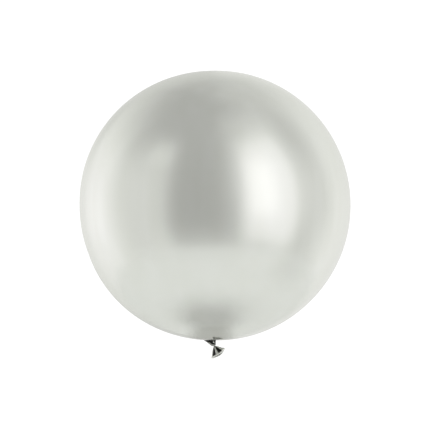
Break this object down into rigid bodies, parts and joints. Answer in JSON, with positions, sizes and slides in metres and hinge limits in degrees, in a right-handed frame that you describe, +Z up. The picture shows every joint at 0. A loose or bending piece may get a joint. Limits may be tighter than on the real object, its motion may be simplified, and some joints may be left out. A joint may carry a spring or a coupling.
{
  "type": "giant round balloon",
  "caption": "Giant round latex balloon with a silver pearl finish, blown up and tied off, with a pleated tail and a rolled rim below the knot.",
  "frame": {"origin": "middle of the blown-up skin, where the air's lift acts", "axes": "+Z up from the knot through the middle to the crown, +X toward the side that the tail leans to, +Y away from the viewer of the picture"},
  "size_m": [0.6, 0.6, 0.6379],
  "materials": {
    "blown_latex": "stretched latex with a silver pearl pigment, satin with soft broad reflections",
    "gathered_latex": "unstretched latex with the same pigment, darker and more like a mirror"
  },
  "bodies": {
    "root": {"skin": "blown_latex", "neck": "gathered_latex", "knot": "gathered_latex", "tail": "gathered_latex", "rim": "gathered_latex"}
  },
  "joints": []
}
